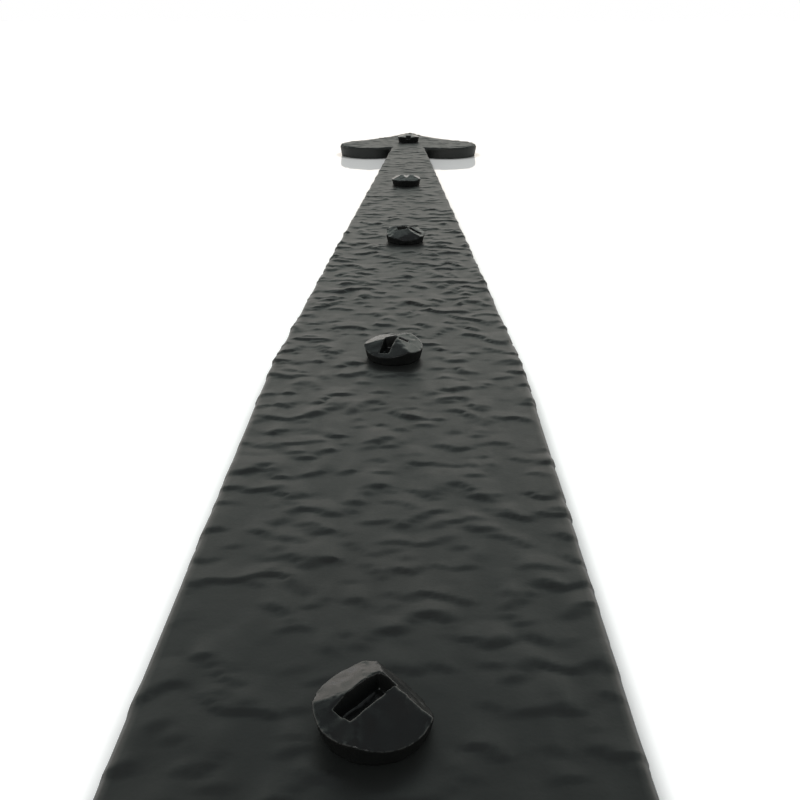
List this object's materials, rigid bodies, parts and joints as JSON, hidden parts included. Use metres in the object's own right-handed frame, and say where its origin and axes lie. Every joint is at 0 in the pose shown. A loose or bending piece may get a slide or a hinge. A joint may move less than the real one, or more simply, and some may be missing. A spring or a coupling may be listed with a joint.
{
  "type": "strap hinge",
  "caption": "Long black hammered strap hinge with a tapered strap, spade tip, rolled knuckles on a pin with ball finials, jamb leaf and hammered screws, for hanging a plank door or gate.",
  "frame": {"origin": "middle of the jamb leaf's screw pattern, on its back face, which lies on the frame of the door", "axes": "+X along the hinge pin, +Y along the strap towards its tip, +Z out of the door; both leaves' backs lie on Z = 0"},
  "size_m": [0.143, 0.67, 0.0548],
  "materials": {
    "hammered_leaf": "black powder coat over a hammered face, low sheen",
    "screws": "black powder coat over a hammered head, low sheen",
    "pin_and_finials": "black powder coat, low sheen",
    "washers": "black oxide"
  },
  "bodies": {
    "jamb": {"jamb_leaf": "hammered_leaf", "hinge_pin": "pin_and_finials", "left_finial": "pin_and_finials", "right_finial": "pin_and_finials", "left_washer": "washers", "right_washer": "washers", "jamb_screw_1": "screws", "jamb_screw_2": "screws", "jamb_screw_3": "screws", "jamb_screw_4": "screws"},
    "strap": {"strap_leaf": "hammered_leaf", "strap_screw_1": "screws", "strap_screw_2": "screws", "strap_screw_3": "screws", "strap_screw_4": "screws", "strap_screw_5": "screws", "strap_screw_6": "screws"}
  },
  "joints": [
    {"name": "door_swing", "type": "hinge", "parent": "jamb", "child": "strap", "pos_m": [0, 0.0347, 0.0104], "axis": [1, 0, 0], "range_deg": [0, 180]}
  ]
}
